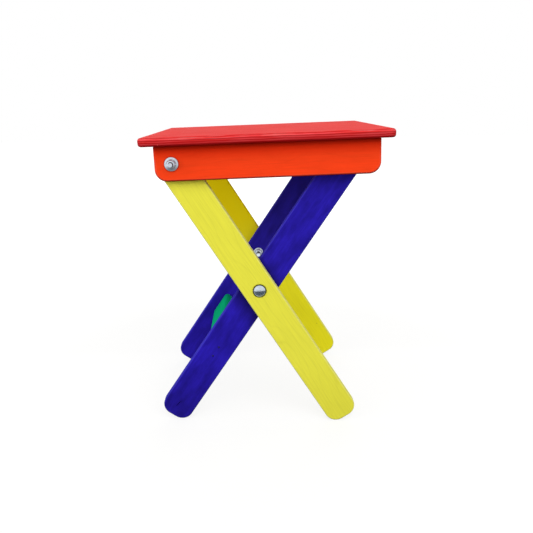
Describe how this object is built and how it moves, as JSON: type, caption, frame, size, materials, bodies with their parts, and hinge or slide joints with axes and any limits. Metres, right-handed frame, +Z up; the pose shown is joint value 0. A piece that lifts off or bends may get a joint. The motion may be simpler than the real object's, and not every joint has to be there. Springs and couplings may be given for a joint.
{
  "type": "folding stool",
  "caption": "Child's painted plywood folding stool: flat seat on side rails, hinged to crossing leg pairs that bolt together at the middle and are braced by slats.",
  "frame": {"origin": "on the floor under the middle of the seat board", "axes": "+Z up, X along the seat rails with the seat's hinge at -X, Y along the hinge bolts"},
  "size_m": [0.288, 0.286, 0.371],
  "materials": {
    "red_seat": "satin red stain on plywood",
    "orange_rail": "satin orange stain on plywood",
    "yellow_leg": "satin yellow stain on plywood",
    "blue_leg": "satin blue stain on plywood",
    "green_slat": "satin green stain on wood",
    "bare_dowel": "bare beech",
    "zinc_hardware": "bright zinc plate",
    "stained_brad": "wire brad stained over with the leg"
  },
  "bodies": {
    "outer_legs": {"front_outer_leg": "yellow_leg", "back_outer_leg": "yellow_leg", "front_rail_bolt": "zinc_hardware", "back_rail_bolt": "zinc_hardware", "front_rail_washer": "zinc_hardware", "back_rail_washer": "zinc_hardware", "front_rail_nut": "zinc_hardware", "back_rail_nut": "zinc_hardware", "front_pivot_bolt": "zinc_hardware", "back_pivot_bolt": "zinc_hardware", "front_pivot_spacer": "zinc_hardware", "back_pivot_spacer": "zinc_hardware", "front_pivot_washer": "zinc_hardware", "back_pivot_washer": "zinc_hardware", "front_pivot_nut": "zinc_hardware", "back_pivot_nut": "zinc_hardware"},
    "seat": {"seat_board": "red_seat", "front_rail": "orange_rail", "back_rail": "orange_rail", "catch_batten": "orange_rail", "front_rail_dowel_1": "bare_dowel", "front_rail_dowel_2": "bare_dowel", "front_rail_dowel_3": "bare_dowel", "back_rail_dowel_1": "bare_dowel", "back_rail_dowel_2": "bare_dowel", "back_rail_dowel_3": "bare_dowel", "catch_screw_1": "zinc_hardware", "catch_screw_2": "zinc_hardware", "catch_screw_3": "zinc_hardware"},
    "inner_legs": {"front_inner_leg": "blue_leg", "back_inner_leg": "blue_leg", "lower_stretcher": "green_slat", "upper_stretcher": "green_slat", "front_lower_brad_1": "stained_brad", "front_lower_brad_2": "stained_brad", "back_lower_brad_1": "stained_brad", "back_lower_brad_2": "stained_brad", "front_upper_brad_1": "stained_brad", "front_upper_brad_2": "stained_brad", "back_upper_brad_1": "stained_brad", "back_upper_brad_2": "stained_brad"}
  },
  "joints": [
    {"name": "seat_hinge", "type": "hinge", "parent": "outer_legs", "child": "seat", "pos_m": [-0.10933, 0, 0.33372], "axis": [0, -1, 0], "range_deg": [0, 120.8]},
    {"name": "leg_pivot", "type": "hinge", "parent": "outer_legs", "child": "inner_legs", "pos_m": [-0.01101, 0, 0.1776], "axis": [0, -1, 0], "range_deg": [0, 66.3]}
  ],
  "couplings": [
    {"joint": "leg_pivot", "follows": "seat_hinge", "ratio": 0.54884}
  ]
}
